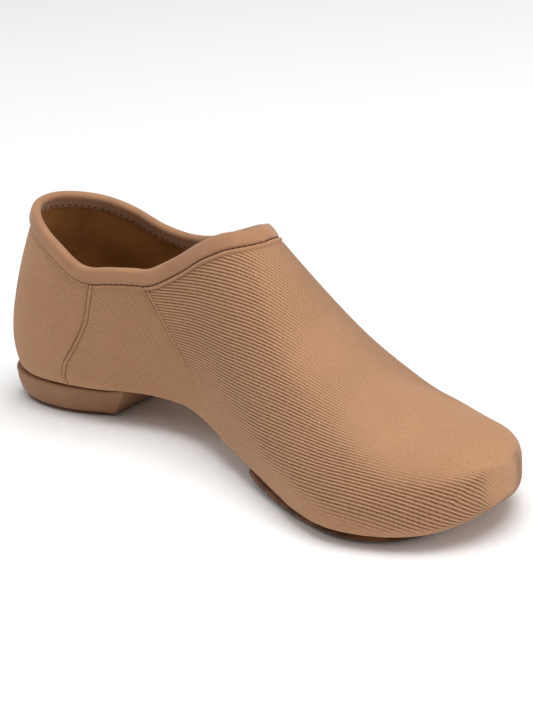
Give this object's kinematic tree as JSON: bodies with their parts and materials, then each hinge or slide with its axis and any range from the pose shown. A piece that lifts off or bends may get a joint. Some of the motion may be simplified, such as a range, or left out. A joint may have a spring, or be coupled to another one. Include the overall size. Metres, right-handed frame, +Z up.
{
  "type": "jazz dance shoe",
  "caption": "Slip-on jazz dance shoe for the left foot: hollow ribbed upper, padded collar, low moulded heel and suede forefoot sole.",
  "frame": {"origin": "centre of the bounding box at the floor, in metres", "axes": "+X from heel to toe, +Y the wearer's left, +Z up; the shoe stands on its heel lift and forefoot sole at z = 0"},
  "size_m": [0.2486, 0.0894, 0.0869],
  "materials": {
    "tan_twill": "matte ribbed stretch twill",
    "tan_binding": "smooth matte knit over thin padding",
    "brown_lining": "matte woven lining",
    "brown_suede": "rough napped suede",
    "tan_heel_rubber": "matte moulded"
  },
  "bodies": {
    "root": {"upper": "tan_twill", "collar_binding": "tan_binding", "insole": "brown_lining", "forefoot_sole": "brown_suede", "heel": "tan_heel_rubber", "heel_lift": "brown_suede"}
  },
  "joints": []
}
